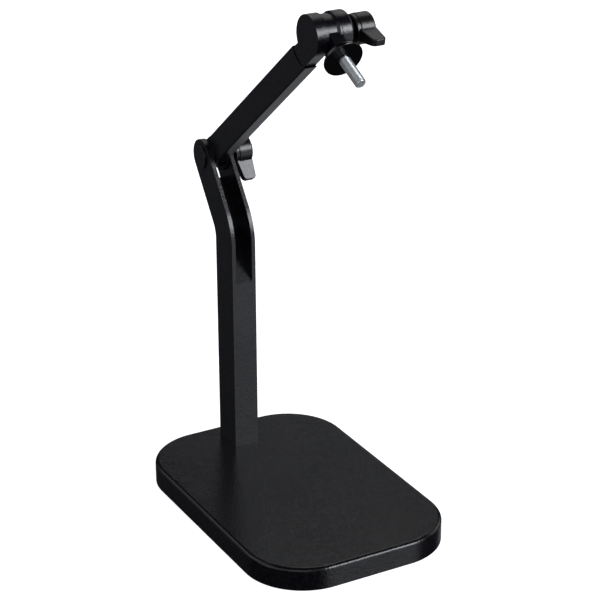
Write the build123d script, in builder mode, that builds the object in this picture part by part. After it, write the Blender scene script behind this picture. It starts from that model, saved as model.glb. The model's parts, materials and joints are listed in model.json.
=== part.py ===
"""Articulated table stand: a heavy base, a bent forked post, a folding arm and a tilting stud head.

Frame: millimetres, +Z up. The origin is on the table, under the middle of the base.
The front of the stand faces -Y, and both wing knobs are on the +X side.
"""

import os
from math import cos, radians, sin, sqrt

from build123d import *

# Base
base_length = 230.0
base_width = 154.5
base_height = 18.0
base_corner = 46.0
base_top_round = 3.0
mat_margin = 7.0
mat_thickness = 2.3
mat_proud = 0.8

# Post: a rectangular tube that stands at the back of the base and leans back above its bend
post_width = 19.5
post_depth = 26.5
post_wall = 3.0
post_setback = 11.8
post_lean = 36.3
post_bend_height = 192.9
post_bend_radius = 33.0
post_lean_length = 59.1

# Slot in the front of the post, and the wedge that closes the tube below it
slot_height = 153.3
slot_corner = 2.2
wedge_height = 27.7
wedge_depth = 14.0
web_drop = 15.8

# Foot block and its screws
foot_block_height = 26.0
foot_screw_radius = 2.5
foot_screw_length = 30.0
foot_screw_spacing = 10.4
foot_head_radius = 4.25
foot_head_height = 5.0
foot_washer_radius = 4.5
foot_washer_thickness = 1.0
foot_bore_depth = 7.0

# Arm: a flat rectangular tube that rises forward from the elbow
arm_rise = 38.5
arm_width = 10.0
arm_depth = 20.0
arm_wall = 1.2
arm_edge = 1.0
arm_tube_start = 14.0
arm_lower_tongue = 26.0
arm_upper_tongue = 30.0
arm_screw_radius = 2.0
arm_screw_head = 3.4
arm_screw_length = 8.0
arm_screw_inset = 12.0

# Pivots: M6 bolts, plain bushes and the stack under each knob
pivot_radius = 3.0
bush_radius = 4.5
bolt_cap_radius = 9.2
bolt_cap_thickness = 1.45
bolt_square = 2 * pivot_radius
friction_radius = 13.0
washer_radius = 6.0
spring_washer_radius = 5.3
washer_thickness = 1.6
spring_split = 1.2

# Wing knob: a round hub with one wedge-shaped blade to one side of its axis
knob_length = 14.3
knob_hub_radius = 11.0
knob_rim_round = 1.4
knob_blade_reach = 24.3
knob_blade_root = 10.0
knob_blade_root_half = 4.5
knob_blade_tip_half = 2.45
knob_blade_taper = 3.9
knob_insert_length = 10.0
elbow_knob_turn = -56.0
head_knob_turn = -10.5

# Head: the arm's barrel, the stud carrier beside it and the clamp ring
barrel_radius = 15.0
barrel_width = 8.8
barrel_reach = 202.4
barrel_rise = 6.4
shoulder_radius = 23.0
fibre_disc_thickness = 0.5
fibre_disc_radius = 13.2
carrier_width = 10.05
carrier_radius = 13.6
carrier_rim_radius = 14.9
carrier_rim_width = 1.4
carrier_rim_slope = 2.0
neck_root_half = 9.3
neck_tip_half = 5.6
neck_side_step = 0.3
ring_width = 9.1
ring_outer_round = 2.0
head_bolt_seat = 6.0
stud_drop = 25.5

# Mounting disc and stud (M8)
disc_radius = 14.1
disc_thickness = 2.6
disc_front = 27.2
disc_edge = 0.6
stud_radius = 4.0
stud_length = 24.8
stud_root_depth = 12.0
stud_root_radius = 3.4
stud_relief = 0.6
stud_chamfer = 0.9

# Clearances
fit = 0.05
press = 0.02
gap = 0.05
bolt_hole = 0.25

# Places that follow from the sizes above
post_y = base_length / 2 - post_setback - post_depth / 2
lean_y = sin(radians(post_lean))
lean_z = cos(radians(post_lean))
elbow_y = post_y + post_lean_length * lean_y
elbow_z = post_bend_height + post_lean_length * lean_z
cavity_width = post_width - 2 * post_wall
cavity_depth = post_depth - 2 * post_wall
post_front = post_y - post_depth / 2
cavity_front = post_y - cavity_depth / 2
cavity_back = post_y + cavity_depth / 2

rise_y = -cos(radians(arm_rise))
rise_z = sin(radians(arm_rise))
head_y = elbow_y + barrel_reach * rise_y + barrel_rise * rise_z
head_z = elbow_z + barrel_reach * rise_z - barrel_rise * rise_y
elbow = (elbow_y, elbow_z)
head = (head_y, head_z)

elbow_stack_start = post_width / 2
elbow_knob_start = elbow_stack_start + 3 * washer_thickness + gap
fibre_start = barrel_width / 2
carrier_start = fibre_start + fibre_disc_thickness + gap
carrier_end = carrier_start + carrier_width
ring_start = carrier_end + gap
head_stack_start = ring_start + ring_width
head_knob_start = head_stack_start + 3 * washer_thickness + gap
stud_x = carrier_start + carrier_width / 2


def side_plane(x, centre, turn):
    """A plane facing -X at x, with its own X axis turned up from the front by turn degrees."""
    along = (0, -cos(radians(turn)), sin(radians(turn)))
    return Plane(origin=(x, centre[0], centre[1]), x_dir=along, z_dir=(-1, 0, 0))


def ring_piece(low, high, centre, outer, inner):
    """A plain washer or sleeve about a pivot, from x = low to x = high."""
    with BuildPart() as piece:
        with BuildSketch(side_plane(high, centre, 0)):
            Circle(outer)
            Circle(inner, mode=Mode.SUBTRACT)
        extrude(amount=high - low)
    return piece.part


def wing_knob(start, centre, turn):
    """A wing knob whose inner end is at x = start, with a blind bore for its threaded insert."""
    end = start + knob_length
    inner_side = side_plane(start, centre, turn)
    outer_side = side_plane(end, centre, turn)
    slope = (knob_blade_root_half - knob_blade_tip_half) / (knob_blade_reach - knob_blade_root)
    heel = knob_blade_root / 2
    heel_half = knob_blade_root_half + slope * (knob_blade_root - heel)
    with BuildPart() as knob:
        with BuildSketch(outer_side):
            Circle(knob_hub_radius)
        extrude(amount=knob_length)
        rim = knob.edges().filter_by(GeomType.CIRCLE).sort_by(Axis.X)[-1]
        fillet(rim, radius=knob_rim_round)
        with BuildSketch(outer_side):
            with BuildLine():
                Polyline(
                    (heel, heel_half),
                    (knob_blade_reach, knob_blade_tip_half),
                    (knob_blade_reach, -knob_blade_tip_half),
                    (heel, -heel_half),
                    close=True,
                )
            make_face()
        extrude(amount=knob_length, mode=Mode.ADD)
        # The blade narrows towards its tip on the side that faces the joint.
        plan = Plane(origin=inner_side.origin, x_dir=inner_side.x_dir, z_dir=inner_side.y_dir)
        side = 1 if plan.y_dir.X > 0 else -1
        with BuildSketch(plan):
            with BuildLine():
                Polyline(
                    (knob_blade_root, 0),
                    (knob_blade_reach, side * knob_blade_taper),
                    (knob_blade_reach, -side),
                    (knob_blade_root, -side),
                    close=True,
                )
            make_face()
        extrude(amount=knob_hub_radius, both=True, mode=Mode.SUBTRACT)
        with BuildSketch(inner_side):
            Circle(bush_radius + press)
        extrude(amount=-knob_insert_length, mode=Mode.SUBTRACT)
    return knob.part


def knob_insert(start, centre):
    """The threaded sleeve inside a knob."""
    return ring_piece(start, start + knob_insert_length, centre, bush_radius, pivot_radius + fit)


def spring_washer(start, centre):
    """A split spring washer, drawn flat as it is when the knob is tight."""
    with BuildPart() as washer:
        with BuildSketch(side_plane(start + washer_thickness, centre, 0)):
            Circle(spring_washer_radius)
            Circle(pivot_radius + fit, mode=Mode.SUBTRACT)
            with Locations((spring_washer_radius - 1, 0)):
                Rectangle(2 * spring_washer_radius - 2 * pivot_radius, spring_split, mode=Mode.SUBTRACT)
        extrude(amount=washer_thickness)
    return washer.part


def plain_washers(start, centre):
    """The two plain washers of a stack, one each side of the spring washer."""
    inner = pivot_radius + fit
    washers = []
    for low in (start, start + 2 * washer_thickness):
        washers.append(ring_piece(low, low + washer_thickness, centre, washer_radius, inner))
    return Compound(children=washers)


def save(shape, name):
    """Write one labelled piece to its own STEP file."""
    shape.label = name
    export_step(shape, f"parts/{name}.step")


os.makedirs("parts", exist_ok=True)

# Base plate: rounded slab with a recess below for the mat and two counterbored screw holes
mat_recess_top = mat_thickness
screw_seat = mat_recess_top + foot_bore_depth
screw_ys = (post_y - foot_screw_spacing / 2, post_y + foot_screw_spacing / 2)

with BuildPart() as base_plate:
    with BuildSketch(Plane.XY.offset(mat_proud)):
        RectangleRounded(base_width, base_length, base_corner)
    extrude(amount=base_height - mat_proud)
    fillet(base_plate.edges().group_by(Axis.Z)[-1], radius=base_top_round)
    with BuildSketch(Plane.XY.offset(mat_proud)):
        RectangleRounded(
            base_width - 2 * mat_margin,
            base_length - 2 * mat_margin,
            base_corner - mat_margin,
        )
    extrude(amount=mat_recess_top - mat_proud, mode=Mode.SUBTRACT)
    with BuildSketch(Plane.XY.offset(mat_recess_top)):
        with Locations(*[(0, y) for y in screw_ys]):
            Circle(foot_washer_radius + bolt_hole)
    extrude(amount=foot_bore_depth, mode=Mode.SUBTRACT)
    with BuildSketch(Plane.XY.offset(screw_seat)):
        with Locations(*[(0, y) for y in screw_ys]):
            Circle(foot_screw_radius + bolt_hole)
    extrude(amount=base_height, mode=Mode.SUBTRACT)
save(base_plate.part, "base_plate")

with BuildPart() as base_mat:
    with BuildSketch(Plane.XY):
        RectangleRounded(
            base_width - 2 * mat_margin - 2 * bolt_hole,
            base_length - 2 * mat_margin - 2 * bolt_hole,
            base_corner - mat_margin - bolt_hole,
        )
    extrude(amount=mat_thickness)
save(base_mat.part, "base_mat")

# Screws that hold the foot block from below, with their washers
washer_low = screw_seat - foot_washer_thickness
with BuildPart() as foot_screws:
    with BuildSketch(Plane.XY.offset(washer_low)):
        with Locations(*[(0, y) for y in screw_ys]):
            Circle(foot_screw_radius)
    extrude(amount=foot_screw_length)
    with BuildSketch(Plane.XY.offset(washer_low)):
        with Locations(*[(0, y) for y in screw_ys]):
            Circle(foot_head_radius)
    extrude(amount=-foot_head_height)
    with BuildSketch(Plane.XY.offset(washer_low - foot_head_height)):
        with Locations(*[(0, y) for y in screw_ys]):
            RegularPolygon(foot_screw_radius * 0.9, 6)
    extrude(amount=foot_head_height / 2, mode=Mode.SUBTRACT)
save(foot_screws.part, "foot_screws")

with BuildPart() as foot_washers:
    with BuildSketch(Plane.XY.offset(washer_low)):
        with Locations(*[(0, y) for y in screw_ys]):
            Circle(foot_washer_radius)
            Circle(foot_screw_radius + fit, mode=Mode.SUBTRACT)
    extrude(amount=foot_washer_thickness)
save(foot_washers.part, "foot_washers")

with BuildPart() as foot_block:
    with BuildSketch(Plane.XY.offset(base_height)):
        with Locations((0, post_y)):
            Rectangle(cavity_width - 2 * press, cavity_depth - 2 * press)
        with Locations(*[(0, y) for y in screw_ys]):
            Circle(foot_screw_radius + fit, mode=Mode.SUBTRACT)
    extrude(amount=foot_block_height)
save(foot_block.part, "foot_block")

# Post: bent tube with a round-ended fork. The cavity is open at the front above the slot,
# and open all round near the elbow.
with BuildPart() as post:
    with BuildLine() as spine:
        FilletPolyline(
            (0, post_y, base_height),
            (0, post_y, post_bend_height),
            (0, elbow_y, elbow_z),
            radius=post_bend_radius,
        )
    with BuildSketch(Plane.XY.offset(base_height)):
        with Locations((0, post_y)):
            Rectangle(post_width, post_depth)
    sweep(path=spine.line)
    with BuildSketch(side_plane(post_width / 2, elbow, 0)):
        Circle(post_depth / 2)
    extrude(amount=post_width)
    with BuildSketch(Plane.XY.offset(base_height)):
        with Locations((0, post_y)):
            Rectangle(cavity_width, cavity_depth)
    sweep(path=spine.line, mode=Mode.SUBTRACT)
    reach = 2 * post_depth
    with BuildSketch(Plane.YZ.offset(-cavity_width / 2)):
        with BuildLine():
            Polyline(
                (post_y - reach, slot_height),
                (post_y, slot_height),
                (post_y, post_bend_height),
                (elbow_y, elbow_z),
                (elbow_y - reach * lean_z, elbow_z + reach * lean_y),
                (post_y - reach, elbow_z),
                close=True,
            )
        make_face()
    extrude(amount=cavity_width, mode=Mode.SUBTRACT)
    with BuildSketch(side_plane(cavity_width / 2, elbow, 90 + post_lean)):
        with Locations(((reach - web_drop) / 2, 0)):
            Rectangle(reach + web_drop, 2 * post_depth)
    extrude(amount=cavity_width, mode=Mode.SUBTRACT)
    slot_corners = post.edges().filter_by(Axis.Y).filter_by_position(
        Axis.Z, slot_height - gap, slot_height + gap
    )
    fillet(slot_corners, radius=slot_corner)
    # Round bolt hole in the right ear, square hole in the left ear that stops the bolt turning
    with BuildSketch(side_plane(post_width / 2, elbow, 0)):
        Circle(pivot_radius + bolt_hole)
    extrude(amount=post_wall, mode=Mode.SUBTRACT)
    with BuildSketch(side_plane(-cavity_width / 2, elbow, post_lean)):
        Rectangle(bolt_square + 2 * fit, bolt_square + 2 * fit)
    extrude(amount=post_wall, mode=Mode.SUBTRACT)
save(post.part, "post")

# Wedge in the tube that makes the sloping floor of the slot
with BuildPart() as slot_wedge:
    inset = cavity_width / 2 - press
    with BuildSketch(Plane.YZ.offset(-inset)):
        with BuildLine():
            Polyline(
                (post_front, slot_height + press),
                (cavity_front + press, slot_height + press),
                (cavity_front + press, slot_height - wedge_depth),
                (cavity_back - press, slot_height - wedge_depth),
                (cavity_back - press, slot_height + wedge_height),
                close=True,
            )
        make_face()
    extrude(amount=2 * inset)
    lip = slot_wedge.edges().filter_by(Axis.Y).filter_by_position(
        Axis.Z, slot_height, slot_height + 2 * press
    )
    fillet(lip, radius=slot_corner)
save(slot_wedge.part, "slot_wedge")

# Elbow bolt: flat round head, square neck in the left ear, plain shank
elbow_bolt_end = elbow_knob_start + knob_insert_length - 1
with BuildPart() as elbow_bolt:
    with BuildSketch(side_plane(elbow_bolt_end, elbow, 0)):
        Circle(pivot_radius)
    extrude(amount=elbow_bolt_end + post_width / 2)
    with BuildSketch(side_plane(-post_width / 2 + post_wall, elbow, post_lean)):
        Rectangle(bolt_square, bolt_square)
    extrude(amount=post_wall)
    with BuildSketch(side_plane(-post_width / 2, elbow, 0)):
        Circle(bolt_cap_radius)
    extrude(amount=bolt_cap_thickness)
    cap_rim = elbow_bolt.edges().filter_by(GeomType.CIRCLE).sort_by(Axis.X)[0]
    fillet(cap_rim, radius=bolt_cap_thickness / 3)
save(elbow_bolt.part, "elbow_bolt")

# Friction washers between the ears and the arm's knuckle
friction_low = arm_width / 2 + gap
friction_high = cavity_width / 2
shank_bore = pivot_radius + fit
right_washer = ring_piece(friction_low, friction_high, elbow, friction_radius, shank_bore)
left_washer = ring_piece(-friction_high, -friction_low, elbow, friction_radius, shank_bore)
save(right_washer, "elbow_friction_washer_right")
save(left_washer, "elbow_friction_washer_left")

save(ring_piece(-arm_width / 2, arm_width / 2, elbow, bush_radius, shank_bore), "elbow_bush")
save(plain_washers(elbow_stack_start, elbow), "elbow_washers")
save(spring_washer(elbow_stack_start + washer_thickness, elbow), "elbow_spring_washer")
save(wing_knob(elbow_knob_start, elbow, elbow_knob_turn), "elbow_knob")
save(knob_insert(elbow_knob_start, elbow), "elbow_knob_insert")

# Arm tube: its upper end is cut to an arc about the head pivot
tongue_width = arm_width - 2 * arm_wall - 2 * press
tongue_depth = arm_depth - 2 * arm_wall - 2 * press
tube_end = barrel_reach - sqrt(shoulder_radius**2 - (arm_depth / 2 + barrel_rise) ** 2)
tube_far = tube_end + 2
arm_plane = side_plane(0, elbow, arm_rise)
lower_screw_at = arm_tube_start + arm_screw_inset
upper_screw_at = barrel_reach - shoulder_radius - arm_screw_inset
screw_ts = (lower_screw_at, upper_screw_at)
barrel_at = (barrel_reach, barrel_rise)
tube_section = Plane(
    origin=arm_plane.from_local_coords((arm_tube_start, 0, 0)),
    x_dir=(1, 0, 0),
    z_dir=arm_plane.x_dir,
)
top_plane = Plane(
    origin=arm_plane.from_local_coords((0, arm_depth / 2, 0)),
    x_dir=arm_plane.x_dir,
    z_dir=arm_plane.y_dir,
)

with BuildPart() as arm_tube:
    with BuildSketch(tube_section):
        RectangleRounded(arm_width, arm_depth, arm_edge)
        Rectangle(arm_width - 2 * arm_wall, arm_depth - 2 * arm_wall, mode=Mode.SUBTRACT)
    extrude(amount=tube_far - arm_tube_start)
    with BuildSketch(side_plane(arm_width, elbow, arm_rise)):
        with Locations(barrel_at):
            Circle(shoulder_radius)
    extrude(amount=2 * arm_width, mode=Mode.SUBTRACT)
    with BuildSketch(top_plane):
        with Locations(*[(t, 0) for t in screw_ts]):
            Circle(arm_screw_head + fit)
    extrude(amount=-arm_wall, mode=Mode.SUBTRACT)
save(arm_tube.part, "arm_tube")

# Flat-head screws in the top of the arm, one into each knuckle's tongue
with BuildPart() as arm_screws:
    with BuildSketch(top_plane):
        with Locations(*[(t, 0) for t in screw_ts]):
            Circle(arm_screw_head)
    extrude(amount=-arm_wall)
    with BuildSketch(top_plane.offset(-arm_wall)):
        with Locations(*[(t, 0) for t in screw_ts]):
            Circle(arm_screw_radius)
    extrude(amount=-arm_screw_length)
    with BuildSketch(top_plane):
        with Locations(*[(t, 0) for t in screw_ts]):
            RegularPolygon(arm_screw_radius * 0.7, 6)
    extrude(amount=-arm_wall / 2, mode=Mode.SUBTRACT)
save(arm_screws.part, "arm_screws")


def tongue(start, end):
    """The part of a knuckle that slides into the arm tube, with its screw holes."""
    with BuildPart() as piece:
        with BuildSketch(arm_plane):
            with Locations(((start + end) / 2, 0)):
                Rectangle(end - start, tongue_depth)
        extrude(amount=tongue_width / 2, both=True)
        with BuildSketch(top_plane):
            with Locations(*[(t, 0) for t in screw_ts]):
                Circle(arm_screw_radius + fit)
        extrude(amount=-arm_wall - arm_screw_length - gap, mode=Mode.SUBTRACT)
    return piece.part


lower_tongue = tongue(arm_tube_start, arm_tube_start + arm_lower_tongue)
upper_tongue = tongue(barrel_reach - shoulder_radius - arm_upper_tongue, barrel_reach - barrel_radius)

with BuildPart() as arm_lower_knuckle:
    with BuildSketch(arm_plane):
        Circle(arm_depth / 2)
        with Locations((arm_tube_start / 2, 0)):
            Rectangle(arm_tube_start, arm_depth)
    extrude(amount=arm_width / 2, both=True)
    add(lower_tongue)
    with BuildSketch(arm_plane):
        Circle(bush_radius + press)
    extrude(amount=arm_width, both=True, mode=Mode.SUBTRACT)
save(arm_lower_knuckle.part, "arm_lower_knuckle")

neck_low = barrel_rise - barrel_radius
neck_high = tongue_depth / 2
with BuildPart() as arm_upper_knuckle:
    with BuildSketch(arm_plane):
        with Locations(barrel_at):
            Circle(shoulder_radius - press)
        with Locations((barrel_reach - shoulder_radius / 2, (neck_low + neck_high) / 2)):
            Rectangle(shoulder_radius, neck_high - neck_low, mode=Mode.INTERSECT)
        with Locations(barrel_at):
            Circle(barrel_radius)
    extrude(amount=barrel_width / 2, both=True)
    add(upper_tongue)
    with BuildSketch(side_plane(barrel_width / 2, head, 0)):
        Circle(pivot_radius + press)
    extrude(amount=head_bolt_seat, mode=Mode.SUBTRACT)
save(arm_upper_knuckle.part, "arm_upper_knuckle")

# Head pivot: threaded bolt fixed in the barrel, fibre disc, bush, washers and knob
head_bolt_start = barrel_width / 2 - head_bolt_seat
head_bolt_end = head_knob_start + knob_insert_length - 1
with BuildPart() as head_bolt:
    with BuildSketch(side_plane(head_bolt_end, head, 0)):
        Circle(pivot_radius)
    extrude(amount=head_bolt_end - head_bolt_start)
save(head_bolt.part, "head_bolt")

fibre_end = fibre_start + fibre_disc_thickness
save(ring_piece(fibre_start, fibre_end, head, fibre_disc_radius, shank_bore), "head_fibre_disc")
save(ring_piece(carrier_start, carrier_end, head, bush_radius, shank_bore), "head_bush")
save(plain_washers(head_stack_start, head), "head_washers")
save(spring_washer(head_stack_start + washer_thickness, head), "head_spring_washer")
save(wing_knob(head_knob_start, head, head_knob_turn), "head_knob")
save(knob_insert(head_knob_start, head), "head_knob_insert")

# Stud carrier: a short barrel with a flared rim and a tapering neck that holds the stud
profile_plane = Plane(origin=(0, head_y, head_z), x_dir=(1, 0, 0), z_dir=(0, -1, 0))
head_axis = Axis(origin=(0, head_y, head_z), direction=(1, 0, 0))
disc_back = disc_front - disc_thickness
rim_start = carrier_end - carrier_rim_width
neck_root = sqrt(carrier_radius**2 - neck_root_half**2)
stud_start = disc_front - disc_thickness - stud_root_depth
carrier_plane = side_plane(carrier_end - neck_side_step, head, -stud_drop)
stud_plane = Plane(
    origin=carrier_plane.from_local_coords((0, 0, carrier_width / 2 - neck_side_step)),
    x_dir=(1, 0, 0),
    z_dir=carrier_plane.x_dir,
)

with BuildPart() as stud_carrier:
    with BuildSketch(profile_plane):
        with BuildLine():
            Polyline(
                (carrier_start, bush_radius + press),
                (carrier_start, carrier_radius),
                (rim_start - carrier_rim_slope, carrier_radius),
                (rim_start, carrier_rim_radius),
                (carrier_end, carrier_rim_radius),
                (carrier_end, bush_radius + press),
                close=True,
            )
        make_face()
    revolve(axis=head_axis)
    with BuildSketch(carrier_plane):
        with BuildLine():
            Polyline(
                (bush_radius + stud_chamfer, neck_root_half),
                (neck_root, neck_root_half),
                (disc_back, neck_tip_half),
                (disc_back, -neck_tip_half),
                (neck_root, -neck_root_half),
                (bush_radius + stud_chamfer, -neck_root_half),
                close=True,
            )
        make_face()
    extrude(amount=carrier_width - 2 * neck_side_step)
    with BuildSketch(stud_plane.offset(stud_start)):
        Circle(stud_root_radius + press)
    extrude(amount=disc_front, mode=Mode.SUBTRACT)
save(stud_carrier.part, "stud_carrier")

with BuildPart() as clamp_ring:
    with BuildSketch(side_plane(head_stack_start, head, 0)):
        Circle(carrier_rim_radius)
        Circle(shank_bore, mode=Mode.SUBTRACT)
    extrude(amount=ring_width)
    outer_rims = clamp_ring.edges().filter_by(GeomType.CIRCLE).group_by(Axis.X)[-1]
    fillet(outer_rims.sort_by(SortBy.RADIUS)[-1], radius=ring_outer_round)
save(clamp_ring.part, "clamp_ring")

with BuildPart() as mount_disc:
    with BuildSketch(stud_plane.offset(disc_back)):
        Circle(disc_radius)
        Circle(stud_root_radius + press, mode=Mode.SUBTRACT)
    extrude(amount=disc_thickness)
    disc_rims = mount_disc.edges().filter_by(GeomType.CIRCLE).sort_by(SortBy.RADIUS)[-2:]
    fillet(disc_rims, radius=disc_edge)
save(mount_disc.part, "mount_disc")

with BuildPart() as mount_stud:
    with BuildSketch(stud_plane.offset(stud_start)):
        Circle(stud_root_radius)
    extrude(amount=disc_front + stud_relief - stud_start)
    with BuildSketch(stud_plane.offset(disc_front + stud_relief)):
        Circle(stud_radius)
    extrude(amount=stud_length - stud_relief)
    tip = mount_stud.edges().filter_by(GeomType.CIRCLE).sort_by(Axis.Z)[0]
    chamfer(tip, length=stud_chamfer)
save(mount_stud.part, "mount_stud")
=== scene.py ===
import json
from math import cos, pi, radians, sin

import bmesh
import bpy
from mathutils import Matrix, Vector


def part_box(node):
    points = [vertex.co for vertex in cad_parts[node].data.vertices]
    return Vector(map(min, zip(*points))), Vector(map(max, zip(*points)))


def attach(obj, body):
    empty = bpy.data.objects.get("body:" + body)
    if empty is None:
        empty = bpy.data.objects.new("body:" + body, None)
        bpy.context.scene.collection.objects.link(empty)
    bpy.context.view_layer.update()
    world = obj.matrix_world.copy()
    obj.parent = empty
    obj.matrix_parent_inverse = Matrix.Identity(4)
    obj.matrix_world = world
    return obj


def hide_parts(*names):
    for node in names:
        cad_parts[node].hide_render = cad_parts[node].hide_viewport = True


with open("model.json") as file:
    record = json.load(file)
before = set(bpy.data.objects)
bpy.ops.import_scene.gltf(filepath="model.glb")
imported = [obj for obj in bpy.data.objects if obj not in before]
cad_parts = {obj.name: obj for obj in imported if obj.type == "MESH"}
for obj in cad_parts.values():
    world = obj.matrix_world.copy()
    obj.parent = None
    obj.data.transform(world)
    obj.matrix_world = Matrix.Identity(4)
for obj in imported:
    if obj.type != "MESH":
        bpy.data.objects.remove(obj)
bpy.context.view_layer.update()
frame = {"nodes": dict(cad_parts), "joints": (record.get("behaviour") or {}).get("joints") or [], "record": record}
nodes = frame["nodes"]
joints = {joint["name"]: joint for joint in frame["joints"]}
headPivot = Vector(joints["head_tilt"]["pos_m"])
elbowPivot = Vector(joints["elbow_fold"]["pos_m"])
print("frame loaded")


def startMaterial(name):
    material = bpy.data.materials.new(name)
    material.use_nodes = True
    tree = material.node_tree
    shader = tree.nodes["Principled BSDF"]
    place = tree.nodes.new("ShaderNodeTexCoord")
    return material, tree, shader, place


def noiseNode(tree, place, scale, detail=3.0, roughness=0.55):
    noise = tree.nodes.new("ShaderNodeTexNoise")
    noise.inputs["Scale"].default_value = scale
    noise.inputs["Detail"].default_value = detail
    noise.inputs["Roughness"].default_value = roughness
    tree.links.new(place.outputs["Object"], noise.inputs["Vector"])
    return noise


def rampNode(tree, source, low, high, lowValue, highValue):
    ramp = tree.nodes.new("ShaderNodeMapRange")
    ramp.inputs["From Min"].default_value = low
    ramp.inputs["From Max"].default_value = high
    ramp.inputs["To Min"].default_value = lowValue
    ramp.inputs["To Max"].default_value = highValue
    tree.links.new(source, ramp.inputs["Value"])
    return ramp


def mixColors(tree, factor, first, second):
    mix = tree.nodes.new("ShaderNodeMix")
    mix.data_type = "RGBA"
    mix.inputs["A"].default_value = first
    mix.inputs["B"].default_value = second
    tree.links.new(factor, mix.inputs["Factor"])
    return mix


coatLook = {
    "post": {
        "dark": 0.0006, "light": 0.0042, "rough": 0.30, "spread": 0.05,
        "grain": 750, "bump": 0.6, "shine": 0.5,
    },
    "base": {
        "dark": 0.0003, "light": 0.0028, "rough": 0.23, "spread": 0.04,
        "grain": 560, "bump": 0.85, "shine": 0.45,
    },
    "head": {
        "dark": 0.0006, "light": 0.0046, "rough": 0.25, "spread": 0.06,
        "grain": 1150, "bump": 0.5, "shine": 0.5,
    },
}
grainDepth = {"coarse": 0.00024, "fine": 0.00022, "coarseShare": 0.6, "coarseScale": 0.25}


def powderCoat(name, look):
    # fine orange-peel grain over a slow drift in gloss, as baked powder has
    material, tree, shader, place = startMaterial(name)
    drift = noiseNode(tree, place, 28, 2)
    grain = noiseNode(tree, place, look["grain"], 2, 0.6)
    peel = noiseNode(tree, place, look["grain"] * grainDepth["coarseScale"], 2)
    shader.inputs["Specular IOR Level"].default_value = look["shine"]
    dark = (look["dark"], look["dark"], look["dark"] * 2.2, 1)
    light = (look["light"], look["light"], look["light"] * 1.6, 1)
    speckle = rampNode(tree, grain.outputs["Fac"], 0.38, 0.62, 0.0, 1.0)
    tint = mixColors(tree, speckle.outputs["Result"], dark, light)
    tree.links.new(tint.outputs["Result"], shader.inputs["Base Color"])
    halfSpread = look["spread"] / 2
    gloss = rampNode(
        tree, drift.outputs["Fac"], 0.3, 0.7, look["rough"] - halfSpread, look["rough"] + halfSpread
    )
    tree.links.new(gloss.outputs["Result"], shader.inputs["Roughness"])
    coarse = tree.nodes.new("ShaderNodeBump")
    coarse.inputs["Strength"].default_value = look["bump"] * grainDepth["coarseShare"]
    coarse.inputs["Distance"].default_value = grainDepth["coarse"]
    tree.links.new(peel.outputs["Fac"], coarse.inputs["Height"])
    fine = tree.nodes.new("ShaderNodeBump")
    fine.inputs["Strength"].default_value = look["bump"]
    fine.inputs["Distance"].default_value = grainDepth["fine"]
    tree.links.new(grain.outputs["Fac"], fine.inputs["Height"])
    tree.links.new(coarse.outputs["Normal"], fine.inputs["Normal"])
    tree.links.new(fine.outputs["Normal"], shader.inputs["Normal"])
    return material


knobLook = {"dark": 0.0012, "light": 0.0070, "rough": 0.29, "grain": 1200, "bump": 0.5}


def mouldedPlastic(name, look):
    # spark-eroded mould texture
    material, tree, shader, place = startMaterial(name)
    grain = noiseNode(tree, place, look["grain"], 2, 0.7)
    dark = (look["dark"], look["dark"], look["dark"] * 1.08, 1)
    light = (look["light"], look["light"], look["light"] * 1.08, 1)
    tint = mixColors(tree, grain.outputs["Fac"], dark, light)
    tree.links.new(tint.outputs["Result"], shader.inputs["Base Color"])
    gloss = rampNode(tree, grain.outputs["Fac"], 0.3, 0.7, look["rough"] - 0.05, look["rough"] + 0.05)
    tree.links.new(gloss.outputs["Result"], shader.inputs["Roughness"])
    bump = tree.nodes.new("ShaderNodeBump")
    bump.inputs["Strength"].default_value = look["bump"]
    bump.inputs["Distance"].default_value = 0.00016
    tree.links.new(grain.outputs["Fac"], bump.inputs["Height"])
    tree.links.new(bump.outputs["Normal"], shader.inputs["Normal"])
    return material


discLook = {"color": (0.0006, 0.0006, 0.0009, 1), "rough": 0.045, "coat": 0.3}


def pianoBlack(name, look):
    # polished lacquer with a trace of ripple
    material, tree, shader, place = startMaterial(name)
    ripple = noiseNode(tree, place, 160, 1)
    shader.inputs["Base Color"].default_value = look["color"]
    shader.inputs["Coat Weight"].default_value = look["coat"]
    shader.inputs["Coat Roughness"].default_value = 0.02
    gloss = rampNode(tree, ripple.outputs["Fac"], 0.3, 0.7, look["rough"] * 0.7, look["rough"] * 1.3)
    tree.links.new(gloss.outputs["Result"], shader.inputs["Roughness"])
    bump = tree.nodes.new("ShaderNodeBump")
    bump.inputs["Strength"].default_value = 0.04
    bump.inputs["Distance"].default_value = 0.0001
    tree.links.new(ripple.outputs["Fac"], bump.inputs["Height"])
    tree.links.new(bump.outputs["Normal"], shader.inputs["Normal"])
    return material


steelLook = {
    "zinc": {
        "dark": (0.52, 0.55, 0.56, 1), "light": (0.74, 0.77, 0.78, 1),
        "rough": 0.30, "grain": 900, "metal": 0.85,
    },
    "black": {
        "dark": (0.018, 0.018, 0.02, 1), "light": (0.04, 0.04, 0.042, 1),
        "rough": 0.38, "grain": 1200, "metal": 1.0,
    },
    "brass": {
        "dark": (0.50, 0.34, 0.13, 1), "light": (0.78, 0.58, 0.27, 1),
        "rough": 0.28, "grain": 900, "metal": 1.0,
    },
}


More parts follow.
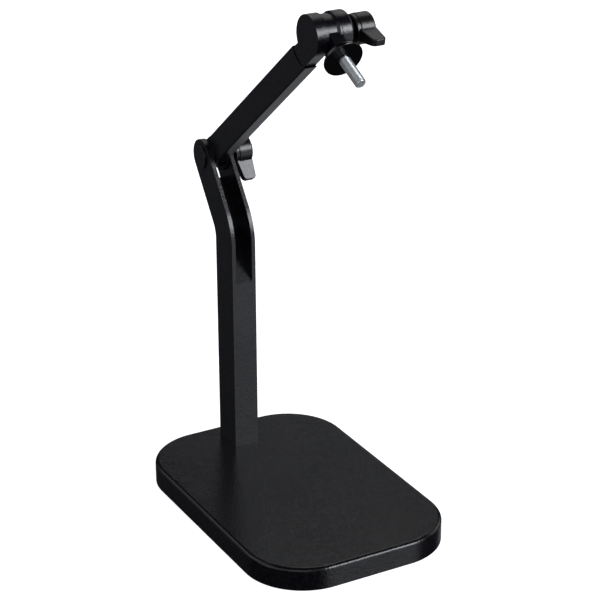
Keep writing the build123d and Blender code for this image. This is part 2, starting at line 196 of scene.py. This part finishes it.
def turnedMetal(name, look):
    # plated metal: faint tool grain and cloudy plating
    material, tree, shader, place = startMaterial(name)
    grain = noiseNode(tree, place, look["grain"], 3, 0.6)
    cloud = noiseNode(tree, place, 140, 2)
    tint = mixColors(tree, cloud.outputs["Fac"], look["dark"], look["light"])
    tree.links.new(tint.outputs["Result"], shader.inputs["Base Color"])
    shader.inputs["Metallic"].default_value = look["metal"]
    gloss = rampNode(tree, grain.outputs["Fac"], 0.3, 0.7, look["rough"] - 0.06, look["rough"] + 0.08)
    tree.links.new(gloss.outputs["Result"], shader.inputs["Roughness"])
    bump = tree.nodes.new("ShaderNodeBump")
    bump.inputs["Strength"].default_value = 0.08
    bump.inputs["Distance"].default_value = 0.00004
    tree.links.new(grain.outputs["Fac"], bump.inputs["Height"])
    tree.links.new(bump.outputs["Normal"], shader.inputs["Normal"])
    return material


rubberLook = {
    "dark": (0.010, 0.010, 0.010, 1), "light": (0.022, 0.022, 0.022, 1),
    "rough": 0.85, "cells": 700, "bump": 0.5, "depth": 0.0003,
}


def rubberSheet(name, look):
    # closed-cell anti-slip sheet with a fine dimple pattern
    material, tree, shader, place = startMaterial(name)
    cells = tree.nodes.new("ShaderNodeTexVoronoi")
    cells.inputs["Scale"].default_value = look["cells"]
    tree.links.new(place.outputs["Object"], cells.inputs["Vector"])
    tint = mixColors(tree, cells.outputs["Distance"], look["dark"], look["light"])
    tree.links.new(tint.outputs["Result"], shader.inputs["Base Color"])
    shader.inputs["Roughness"].default_value = look["rough"]
    bump = tree.nodes.new("ShaderNodeBump")
    bump.inputs["Strength"].default_value = look["bump"]
    bump.inputs["Distance"].default_value = look["depth"]
    tree.links.new(cells.outputs["Distance"], bump.inputs["Height"])
    tree.links.new(bump.outputs["Normal"], shader.inputs["Normal"])
    return material


postCoat = powderCoat("postCoat", coatLook["post"])
baseCoat = powderCoat("baseCoat", coatLook["base"])
headCoat = powderCoat("headCoat", coatLook["head"])
knobPlastic = mouldedPlastic("knobPlastic", knobLook)
nylon = mouldedPlastic("frictionNylon", dict(knobLook, rough=0.55, bump=0.05))
discBlack = pianoBlack("discBlack", discLook)
zincPlate = turnedMetal("zincPlate", steelLook["zinc"])
blackSteel = turnedMetal("blackSteel", steelLook["black"])
brassBar = turnedMetal("brassBar", steelLook["brass"])
matRubber = rubberSheet("matRubber", rubberLook)

nodeFinish = {
    "base_plate": baseCoat,
    "base_mat": matRubber,
    "foot_block": zincPlate,
    "foot_screws": zincPlate,
    "foot_washers": zincPlate,
    "post": postCoat,
    "slot_wedge": postCoat,
    "elbow_bolt": headCoat,
    "elbow_friction_washer_left": nylon,
    "elbow_friction_washer_right": nylon,
    "elbow_washers": blackSteel,
    "elbow_spring_washer": blackSteel,
    "elbow_bush": brassBar,
    "elbow_knob": knobPlastic,
    "elbow_knob_insert": brassBar,
    "arm_tube": postCoat,
    "arm_lower_knuckle": postCoat,
    "arm_upper_knuckle": headCoat,
    "arm_screws": blackSteel,
    "head_bolt": blackSteel,
    "head_fibre_disc": nylon,
    "clamp_ring": headCoat,
    "head_washers": blackSteel,
    "head_spring_washer": blackSteel,
    "stud_carrier": headCoat,
    "head_bush": brassBar,
    "mount_disc": discBlack,
    "mount_stud": zincPlate,
    "head_knob": knobPlastic,
    "head_knob_insert": brassBar,
}
for name, finish in nodeFinish.items():
    slots = nodes[name].data.materials
    slots.clear()
    slots.append(finish)
print("finishes assigned")


def finishPiece(
    mesh, name, finish, body, replaced=(), smoothAngle=35, evenShading=True
):
    bmesh.ops.recalc_face_normals(mesh, faces=mesh.faces[:])
    data = bpy.data.meshes.new(name)
    mesh.to_mesh(data)
    mesh.free()
    data.materials.append(finish)
    piece = bpy.data.objects.new(name, data)
    bpy.context.scene.collection.objects.link(piece)
    for face in data.polygons:
        face.use_smooth = True
    bpy.context.view_layer.objects.active = piece
    data.set_sharp_from_angle(angle=radians(smoothAngle))
    if evenShading:
        weighted = piece.modifiers.new("evenShading", "WEIGHTED_NORMAL")
        weighted.weight = 100
        weighted.keep_sharp = True
    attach(piece, body)
    if replaced:
        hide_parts(*replaced)
    return piece


def loneCopy(nodeName):
    # a merged copy of a node's mesh, with its flat triangles joined back into faces
    mesh = bmesh.new()
    mesh.from_mesh(nodes[nodeName].data)
    bmesh.ops.remove_doubles(mesh, verts=mesh.verts[:], dist=2e-6)
    bmesh.ops.dissolve_limit(
        mesh,
        angle_limit=radians(0.6),
        use_dissolve_boundaries=False,
        verts=mesh.verts[:],
        edges=mesh.edges[:],
    )
    return mesh


def roundLongCorners(mesh, width, shortest):
    paired = [e for e in mesh.edges if len(e.link_faces) == 2 and e.is_convex]
    corners = [e for e in paired if e.calc_length() > shortest and e.calc_face_angle() > radians(60)]
    bmesh.ops.bevel(
        mesh,
        geom=corners,
        offset=width,
        offset_type="OFFSET",
        segments=6,
        profile=0.5,
        affect="EDGES",
        clamp_overlap=True,
        material=-1,
    )


def roundSharpEdges(mesh, width, sharpness=32, segments=3):
    paired = [e for e in mesh.edges if len(e.link_faces) == 2]
    sharp = [e for e in paired if e.calc_face_angle() > radians(sharpness)]
    bmesh.ops.bevel(
        mesh,
        geom=sharp,
        offset=width,
        offset_type="OFFSET",
        segments=segments,
        profile=0.5,
        affect="EDGES",
        clamp_overlap=True,
        material=-1,
    )


edgeRounds = {
    "post": {"width": 0.0007, "finish": postCoat, "slot": "post_coat", "body": "stand"},
    "slot_wedge": {"width": 0.0003, "finish": postCoat, "slot": "post_coat", "body": "stand"},
    "elbow_bolt": {"width": 0.0002, "finish": headCoat, "slot": "bolt_black", "body": "stand"},
    "arm_tube": {
        "width": 0.0003, "corner": 0.0022, "finish": postCoat, "slot": "arm_coat", "body": "arm",
    },
    "arm_lower_knuckle": {"width": 0.0007, "finish": postCoat, "slot": "arm_coat", "body": "arm"},
    "arm_upper_knuckle": {"width": 0.0007, "finish": headCoat, "slot": "head_coat", "body": "arm"},
    "clamp_ring": {"width": 0.0004, "finish": headCoat, "slot": "head_coat", "body": "arm"},
    "stud_carrier": {"width": 0.0004, "finish": headCoat, "slot": "head_coat", "body": "head"},
}
longEdge = 0.05  # only the corners that run the tube's length
for name, look in edgeRounds.items():
    mesh = loneCopy(name)
    if "corner" in look:
        roundLongCorners(mesh, look["corner"], longEdge)
    roundSharpEdges(mesh, look["width"])
    finishPiece(mesh, name + "_rounded", look["finish"], look["body"], [name])
print("edges rounded")


studLook = {
    "crest": 0.00400,
    "root": 0.00318,
    "pitch": 0.00125,
    "steps": 48,
    "tipChamfer": 0.0009,
    "footMargin": 0.0006,
}


def studFrame():
    # the stud's axis and the distances along it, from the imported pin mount
    pin = next(m for m in frame["record"]["mounts"] if m["name"] == "stud")
    axis = Vector(pin["axis"]).normalized()
    middle = Vector(pin["pos_m"])
    half = pin["dims"]["length_mm"] / 2000
    return axis, middle, half


def threadedStud(look):
    axis, middle, half = studFrame()
    tip = middle + axis * (half + look["tipChamfer"])
    foot = middle - axis * (half + look["footMargin"])
    length = (tip - foot).length
    turns = int(length / look["pitch"]) + 3
    pitch = look["pitch"]
    mesh = bmesh.new()
    outline = [
        (look["root"], 0.0),
        (look["root"] + 0.00012, pitch * 0.10),
        (look["crest"] - 0.00006, pitch * 0.42),
        (look["crest"], pitch * 0.47),
        (look["crest"], pitch * 0.57),
        (look["crest"] - 0.00006, pitch * 0.62),
        (look["root"] + 0.00012, pitch * 0.94),
        (look["root"], pitch),
    ]
    dots = [mesh.verts.new((radius, 0, height - 2 * pitch)) for radius, height in outline]
    edges = [mesh.edges.new(pair) for pair in zip(dots, dots[1:])]
    bmesh.ops.spin(
        mesh,
        geom=dots + edges,
        cent=(0, 0, 0),
        axis=(0, 0, 1),
        dvec=(0, 0, pitch / look["steps"]),
        angle=2 * pi * turns,
        steps=look["steps"] * turns,
        use_merge=False,
        use_duplicate=False,
    )
    bmesh.ops.remove_doubles(mesh, verts=mesh.verts[:], dist=2e-6)
    for height, side in ((0.0, -1), (length, 1)):
        bmesh.ops.bisect_plane(
            mesh,
            geom=mesh.verts[:] + mesh.edges[:] + mesh.faces[:],
            dist=1e-7,
            plane_co=(0, 0, height),
            plane_no=(0, 0, side),
            clear_outer=True,
        )
    rims = [e for e in mesh.edges if e.is_boundary]
    bmesh.ops.holes_fill(mesh, edges=rims, sides=0)
    # the ends are turned down to a chamfer
    for vert in mesh.verts:
        radius = vert.co.xy.length
        tipLimit = look["crest"] - look["tipChamfer"] + (length - vert.co.z)
        limit = min(tipLimit, look["root"] + 0.6 * vert.co.z)
        if radius > limit:
            vert.co.xy *= max(limit, 0.0005) / radius
    turn = Vector((0, 0, 1)).rotation_difference(axis).to_matrix().to_4x4()
    bmesh.ops.transform(mesh, matrix=Matrix.Translation(foot) @ turn, verts=mesh.verts[:])
    return mesh


finishPiece(
    threadedStud(studLook), "stud_thread", zincPlate, "head", ["mount_stud"],
    smoothAngle=30, evenShading=False,
)
print("thread cut")


knobShape = {
    "hubRadius": 0.0110,
    "collarRadius": 0.0106,
    "collarLength": 0.0028,
    "rimRound": 0.0016,
    "length": 0.0143,
    "bladeReach": 0.0243,
    "bladeTaper": 0.0039,
    "bladeRoot": 0.0100,
    "rootHalf": 0.0045,
    "tipHalf": 0.00245,
    "edgeRound": 0.0007,
    "tipRound": 0.0026,
    "boreRadius": 0.0032,
    "dishRim": 0.0026,
    "dishRadiusStep": 0.0032,
    "dishDepth": 0.0005,
}
wingShare = {"heel": 0.55, "heelTaper": 0.35}


def wingKnob(shape, pivot, start, bladeAngle):
    # turned hub with a groove behind its collar, a shallow dished end and one wedge blade
    mesh = bmesh.new()
    end = start + shape["length"]
    hub = shape["hubRadius"]
    collar = start + shape["collarLength"]
    outline = [
        (start, shape["boreRadius"]),
        (start, shape["collarRadius"] - 0.0004),
        (start + 0.0004, shape["collarRadius"]),
        (collar - 0.0003, shape["collarRadius"]),
        (collar, shape["collarRadius"] - 0.0003),
        (collar + 0.0002, shape["collarRadius"] - 0.0003),
        (collar + 0.0006, hub),
        (end - shape["rimRound"], hub),
    ]
    for step in range(1, 7):
        turn = radians(90 * step / 6)
        outline.append(
            (end - shape["rimRound"] * (1 - sin(turn)), hub - shape["rimRound"] * (1 - cos(turn)))
        )
    dishFloor = end - shape["dishDepth"]
    outline += [
        (end, hub - shape["dishRim"]),
        (dishFloor, hub - shape["dishRadiusStep"]),
        (dishFloor, 0.00001),
    ]
    dots = [mesh.verts.new((x, 0, radius)) for x, radius in outline]
    edges = [mesh.edges.new(pair) for pair in zip(dots, dots[1:])]
    bmesh.ops.spin(
        mesh,
        geom=dots + edges,
        cent=(0, 0, 0),
        axis=(1, 0, 0),
        dvec=(0, 0, 0),
        angle=2 * pi,
        steps=72,
        use_merge=True,
        use_duplicate=False,
    )
    bmesh.ops.remove_doubles(mesh, verts=mesh.verts[:], dist=2e-5)
    # blade: a slab along +Y here, narrowed on the side that faces the joint
    heel = shape["bladeRoot"] * wingShare["heel"]
    slope = (shape["rootHalf"] - shape["tipHalf"]) / (shape["bladeReach"] - shape["bladeRoot"])
    heelHalf = shape["rootHalf"] + slope * (shape["bladeRoot"] - heel)
    block = bmesh.ops.create_cube(mesh, size=1.0)["verts"]
    low, high = start + 0.0003, end - 0.0001
    for vert in block:
        outer = vert.co.y > 0
        half = shape["tipHalf"] if outer else heelHalf
        reach = shape["bladeReach"] if outer else heel
        innerX = low - shape["bladeTaper"] * wingShare["heelTaper"]
        if outer:
            innerX = low + shape["bladeTaper"]
        x = high if vert.co.x > 0 else max(innerX, low)
        vert.co = Vector((x, reach, half if vert.co.z > 0 else -half))
    blockEdges = {e for v in block for e in v.link_edges}
    tipEdges = [
        e
        for e in blockEdges
        if all(abs(v.co.y - shape["bladeReach"]) < 1e-6 for v in e.verts)
        and abs(e.verts[0].co.x - e.verts[1].co.x) < 1e-6
    ]
    rounded = bmesh.ops.bevel(
        mesh, geom=tipEdges, offset=shape["tipRound"], offset_type="OFFSET", segments=5, profile=0.5,
        affect="EDGES", clamp_overlap=True, material=-1,
    )
    roundedVerts = {v for v in mesh.verts if v.co.y > 0.0 and v in rounded["verts"]}
    bladeVerts = roundedVerts | {v for v in block if v.is_valid}
    bladeEdges = [
        e
        for e in {e for v in bladeVerts for e in v.link_edges}
        if len(e.link_faces) == 2 and e.calc_face_angle() > radians(40)
    ]
    bmesh.ops.bevel(
        mesh, geom=bladeEdges, offset=shape["edgeRound"], offset_type="OFFSET", segments=3, profile=0.5,
        affect="EDGES", clamp_overlap=True, material=-1,
    )
    # +Y of the drawing turns to the blade's direction, below the front of the stand
    swing = Matrix.Rotation(pi + radians(bladeAngle), 4, "X")
    toPivot = Matrix.Translation((0, pivot.y, pivot.z))
    bmesh.ops.transform(mesh, matrix=toPivot @ swing, verts=mesh.verts[:])
    return mesh


knobPlaces = {
    "elbow_knob": {"pivot": elbowPivot, "angle": 56.0, "body": "elbow_wing"},
    "head_knob": {"pivot": headPivot, "angle": 10.5, "body": "head_wing"},
}
for name, place in knobPlaces.items():
    low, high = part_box(name)
    mesh = wingKnob(knobShape, place["pivot"], low.x, place["angle"])
    finishPiece(mesh, name + "_moulded", knobPlastic, place["body"], [name])
print("knobs moulded")


floorLook = {"size": 60.0, "color": (0.80, 0.80, 0.81, 1), "rough": 0.7, "glow": 1.15}


def paleFloor(look):
    mesh = bmesh.new()
    bmesh.ops.create_grid(mesh, x_segments=1, y_segments=1, size=look["size"] / 2)
    data = bpy.data.meshes.new("floor")
    mesh.to_mesh(data)
    mesh.free()
    material = bpy.data.materials.new("floorPaper")
    material.use_nodes = True
    shader = material.node_tree.nodes["Principled BSDF"]
    shader.inputs["Base Color"].default_value = look["color"]
    shader.inputs["Roughness"].default_value = look["rough"]
    shader.inputs["Specular IOR Level"].default_value = 0.1
    shader.inputs["Emission Color"].default_value = look["color"]
    shader.inputs["Emission Strength"].default_value = look["glow"]  # an evenly lit light table
    data.materials.append(material)
    floor = bpy.data.objects.new("floor", data)
    bpy.context.scene.collection.objects.link(floor)
    floor.visible_glossy = False  # polished parts mirror the dark room, not the paper
    return floor


paleFloor(floorLook)

lightRig = {
    "top": {
        "place": (0.99, 1.10, 1.89), "aim": (0, 0, 0.3), "size": (1.2, 1.2), "power": 4.6,
    },
}


def softBox(name, light):
    data = bpy.data.lights.new(name, "AREA")
    data.shape = "RECTANGLE"
    data.size, data.size_y = light["size"]
    data.energy = light["power"]
    lamp = bpy.data.objects.new(name, data)
    bpy.context.scene.collection.objects.link(lamp)
    toAim = Vector(light["aim"]) - Vector(light["place"])
    turn = toAim.to_track_quat("-Z", "Y").to_matrix().to_4x4()
    lamp.matrix_world = Matrix.Translation(light["place"]) @ turn
    return lamp


for name, light in lightRig.items():
    softBox(name, light)

# soft round panels in the room: degrees right of the front, degrees up,
# then the half-widths at which each is full and has faded out
roomLook = {
    "dim": 0.025,
    "tint": (0.93, 0.95, 1.0, 1),
    "wall": (1.0, 1.0, 1.0, 1),
    "panels": {
        "main": {"turn": 31, "rise": 23, "full": 5, "fade": 19, "strength": 12.5},
        "frontLow": {"turn": 30, "rise": -18, "full": 5, "fade": 24, "strength": 1.1},
        "backRight": {"turn": 150, "rise": 12, "full": 5, "fade": 16, "strength": 0.52},
        "underRight": {"turn": 142, "rise": -46, "full": 14, "fade": 30, "strength": 0.4},
        "backLeft": {"turn": -150, "rise": 0, "full": 8, "fade": 34, "strength": 0.07},
        "frontLeft": {"turn": -35, "rise": 26, "full": 12, "fade": 32, "strength": 0.9},
        "left": {"turn": -85, "rise": 22, "full": 12, "fade": 30, "strength": 0.9},
        "leftBack": {"turn": -135, "rise": 34, "full": 10, "fade": 30, "strength": 0.8},
        "right": {"turn": 95, "rise": 16, "full": 12, "fade": 28, "strength": 0.8},
    },
}


def studioRoom(look):
    world = bpy.data.worlds.new("studio")
    bpy.context.scene.world = world
    world.use_nodes = True
    tree = world.node_tree
    background = tree.nodes["Background"]
    place = tree.nodes.new("ShaderNodeTexCoord")
    total = None
    for panel in look["panels"].values():
        turn, rise = radians(panel["turn"]), radians(panel["rise"])
        facing = tree.nodes.new("ShaderNodeVectorMath")
        facing.operation = "DOT_PRODUCT"
        facing.inputs[1].default_value = (sin(turn) * cos(rise), -cos(turn) * cos(rise), sin(rise))
        tree.links.new(place.outputs["Generated"], facing.inputs[0])
        outer, inner = cos(radians(panel["fade"])), cos(radians(panel["full"]))
        glow = rampNode(tree, facing.outputs["Value"], outer, inner, 0.0, panel["strength"])
        glow.interpolation_type = "SMOOTHSTEP"
        add = tree.nodes.new("ShaderNodeMath")
        add.operation = "ADD"
        tree.links.new(glow.outputs["Result"], add.inputs[0])
        if total is None:
            add.inputs[1].default_value = look["dim"]
        else:
            tree.links.new(total, add.inputs[1])
        total = add.outputs["Value"]
    tree.links.new(total, background.inputs["Strength"])
    background.inputs["Color"].default_value = look["tint"]
    # seen directly, the room is a pale wall that carries on from the floor
    wall = tree.nodes.new("ShaderNodeBackground")
    wall.inputs["Color"].default_value = look["wall"]
    path = tree.nodes.new("ShaderNodeLightPath")
    choose = tree.nodes.new("ShaderNodeMixShader")
    tree.links.new(path.outputs["Is Camera Ray"], choose.inputs["Fac"])
    tree.links.new(background.outputs["Background"], choose.inputs[1])
    tree.links.new(wall.outputs["Background"], choose.inputs[2])
    tree.links.new(choose.outputs["Shader"], tree.nodes["World Output"].inputs["Surface"])


studioRoom(roomLook)

cameraPlace = {
    "target": (0.005428, 0.0, 0.167325),
    "azimuth": -28.779,
    "elevation": 23.472,
    "roll": 0.314,
    "distance": 1.480878,
    "lens": 123.738,
}


def viewCamera(place):
    turn, lift, roll = (radians(place[key]) for key in ("azimuth", "elevation", "roll"))
    back = Vector((sin(turn) * cos(lift), -cos(turn) * cos(lift), sin(lift)))
    right = Vector((cos(turn), sin(turn), 0))
    up = back.cross(right)
    rolledRight = right * cos(roll) - up * sin(roll)
    rolledUp = right * sin(roll) + up * cos(roll)
    stand = Vector(place["target"]) + back * place["distance"]
    pose = Matrix((rolledRight, rolledUp, back)).transposed().to_4x4()
    data = bpy.data.cameras.new("camera")
    data.lens = place["lens"]
    data.sensor_width = 36
    data.clip_start = 0.05
    data.clip_end = 200
    camera = bpy.data.objects.new("camera", data)
    bpy.context.scene.collection.objects.link(camera)
    camera.matrix_world = Matrix.Translation(stand) @ pose
    bpy.context.scene.camera = camera


viewCamera(cameraPlace)
bpy.context.scene.view_settings.view_transform = "Standard"
print("studio set")
